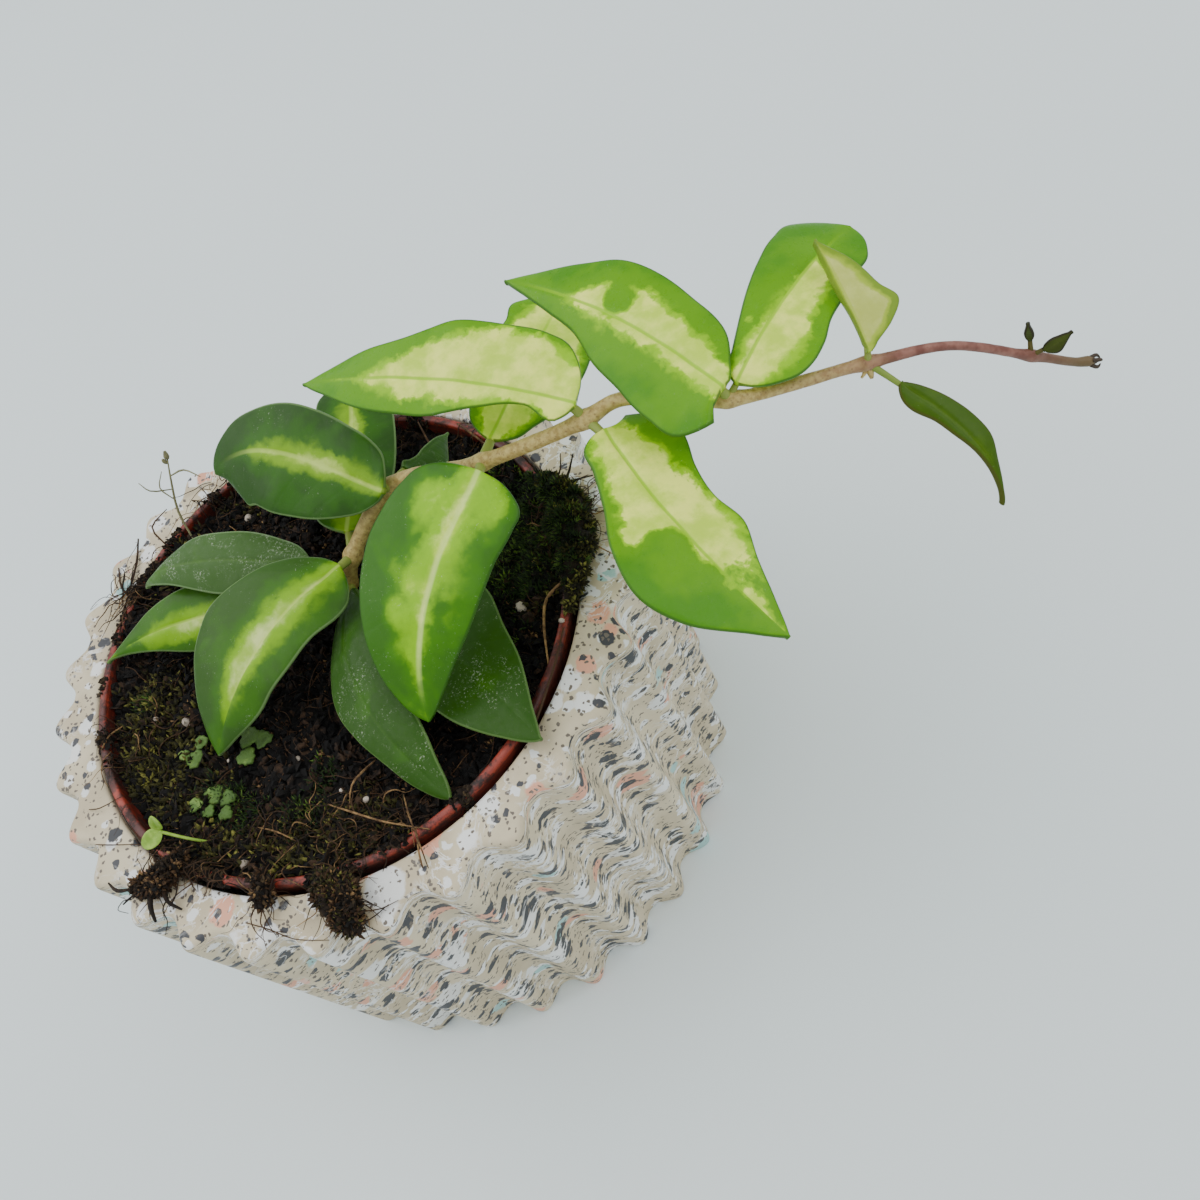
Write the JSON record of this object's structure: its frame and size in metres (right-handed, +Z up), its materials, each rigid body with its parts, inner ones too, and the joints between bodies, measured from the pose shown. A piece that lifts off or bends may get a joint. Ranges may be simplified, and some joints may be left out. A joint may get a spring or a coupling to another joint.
{
  "type": "potted variegated hoya plant",
  "caption": "Trailing wax plant with variegated leaves in a plastic nursery pot of peat, dropped into a fluted terrazzo planter that stands on its flat foot.",
  "frame": {"origin": "centre of the planter's flat foot, on its axis", "axes": "+Z up along the planter's axis; the vine grows out towards +X and a little towards -Y; the picture was taken from the -Y side, from above"},
  "size_m": [0.2341, 0.1545, 0.1386],
  "materials": {
    "terrazzo": "matt cast terrazzo in warm grey with charcoal, white, salmon and pale aqua chips",
    "pot_plastic": "thin terracotta-coloured plastic, satin",
    "peat": "damp crumbly peat with fine roots",
    "moss": "soft moss",
    "stem": "smooth bark, tan turning mauve towards the tip",
    "weed": "soft green",
    "old_leaf": "waxy dark green with a narrow yellow-green centre",
    "young_leaf": "waxy yellow-green with a broad cream centre"
  },
  "bodies": {
    "root": {"planter": "terrazzo", "nursery_pot": "pot_plastic", "soil": "peat", "vine_stem": "stem", "seedling": "weed", "clod_front": "peat", "clod_middle": "peat", "clod_left": "peat", "moss_right": "moss", "leaf_soil_left": "old_leaf", "leaf_soil_front": "old_leaf", "leaf_low_back": "old_leaf", "leaf_low_front": "old_leaf", "leaf_crown_left": "old_leaf", "leaf_crown_back": "old_leaf", "leaf_inner_back": "old_leaf", "leaf_inner_right": "old_leaf", "leaf_rim_front": "young_leaf", "leaf_rim_back": "young_leaf", "leaf_over_left": "young_leaf", "leaf_over_front": "young_leaf", "leaf_outer_left": "young_leaf", "leaf_outer_right": "young_leaf", "leaf_young_back": "young_leaf", "leaf_young_front": "young_leaf", "leaf_sprout_back": "young_leaf", "leaf_sprout_front": "young_leaf"}
  },
  "joints": []
}
